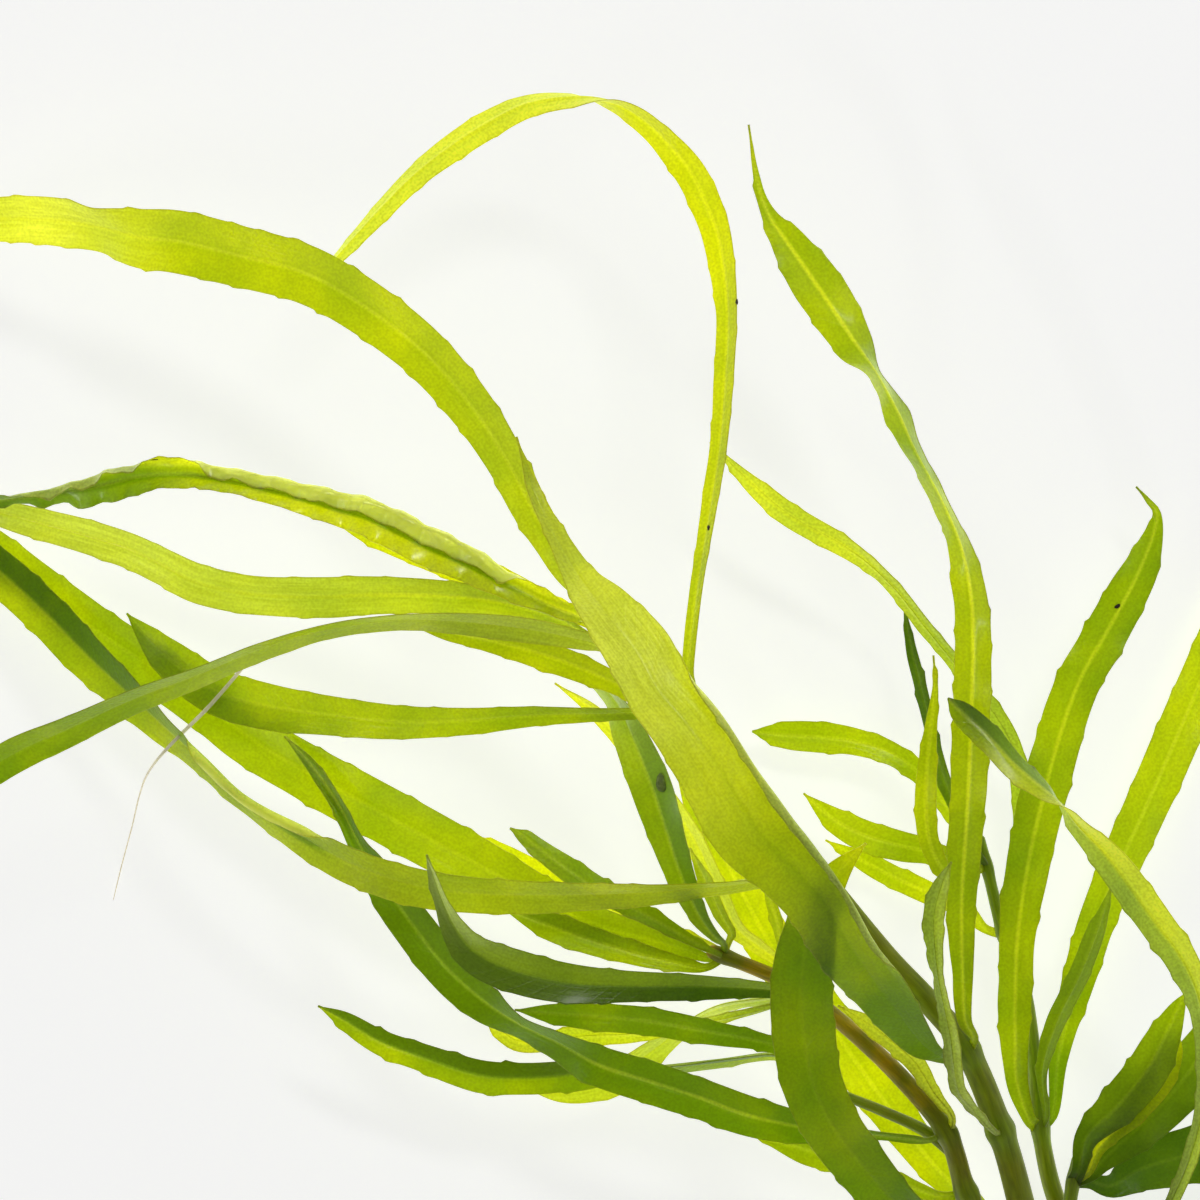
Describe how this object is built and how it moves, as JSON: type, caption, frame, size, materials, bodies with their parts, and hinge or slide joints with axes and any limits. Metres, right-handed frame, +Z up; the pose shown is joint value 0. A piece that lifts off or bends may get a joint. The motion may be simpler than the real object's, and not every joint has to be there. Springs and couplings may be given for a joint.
{
  "type": "pogostemon",
  "caption": "Cut aquarium stem plant with long narrow wavy leaves in whorls on a forked stem, lying on a surface.",
  "frame": {"origin": "middle of the footprint's bounding box, at the level that the plant lies on", "axes": "+Z up, away from the surface that the plant lies on; +Y from the cut foot of the stem towards the tips that the picture shows at its top; +X to the picture's right"},
  "size_m": [0.238, 0.2443, 0.0614],
  "materials": {
    "leaf": "soft satin, lets light through",
    "dark_leaf": "glossier satin, lets light through",
    "stem": "smooth satin"
  },
  "bodies": {
    "root": {"stem_main": "stem", "stem_left_branch": "stem", "stem_left_shoot": "stem", "stem_right_branch": "stem", "stem_back_branch": "stem", "leaf_upright": "leaf", "leaf_front_broad": "leaf", "leaf_twisted": "leaf", "leaf_long_left": "leaf", "leaf_hoop": "leaf", "leaf_blade": "leaf", "leaf_low_left": "leaf", "leaf_arc": "leaf", "leaf_curled": "leaf", "leaf_under": "leaf", "leaf_wavy": "leaf", "leaf_strap": "leaf", "leaf_left_long": "dark_leaf", "leaf_left_short": "leaf", "leaf_shoot_upper": "leaf", "leaf_shoot_lower": "dark_leaf", "leaf_grey": "leaf", "leaf_hook": "dark_leaf", "leaf_rising": "dark_leaf", "leaf_sliver": "dark_leaf", "leaf_drooping": "dark_leaf", "leaf_wide_left": "leaf", "leaf_below_wide": "leaf", "leaf_between": "leaf", "leaf_pointed": "dark_leaf", "leaf_straight": "dark_leaf", "leaf_inner": "dark_leaf", "leaf_front_low": "leaf", "leaf_behind": "leaf", "leaf_left_stub": "leaf", "leaf_back_tall": "leaf", "leaf_back_outer": "leaf", "leaf_back_folded": "dark_leaf", "leaf_back_sweep": "leaf", "leaf_back_low": "leaf", "leaf_back_dark": "dark_leaf", "leaf_back_curved": "leaf", "leaf_back_flat": "leaf", "leaf_back_shade": "dark_leaf", "leaf_right_upper": "dark_leaf", "leaf_right_inner": "leaf", "leaf_right_outer": "dark_leaf", "leaf_right_low": "dark_leaf", "leaf_right_under": "dark_leaf", "leaf_right_climbing": "leaf", "leaf_foot_left": "dark_leaf", "leaf_foot_right": "dark_leaf", "leaf_foot_over": "dark_leaf", "leaf_foot_trailing": "dark_leaf", "leaf_foot_back": "dark_leaf"}
  },
  "joints": []
}
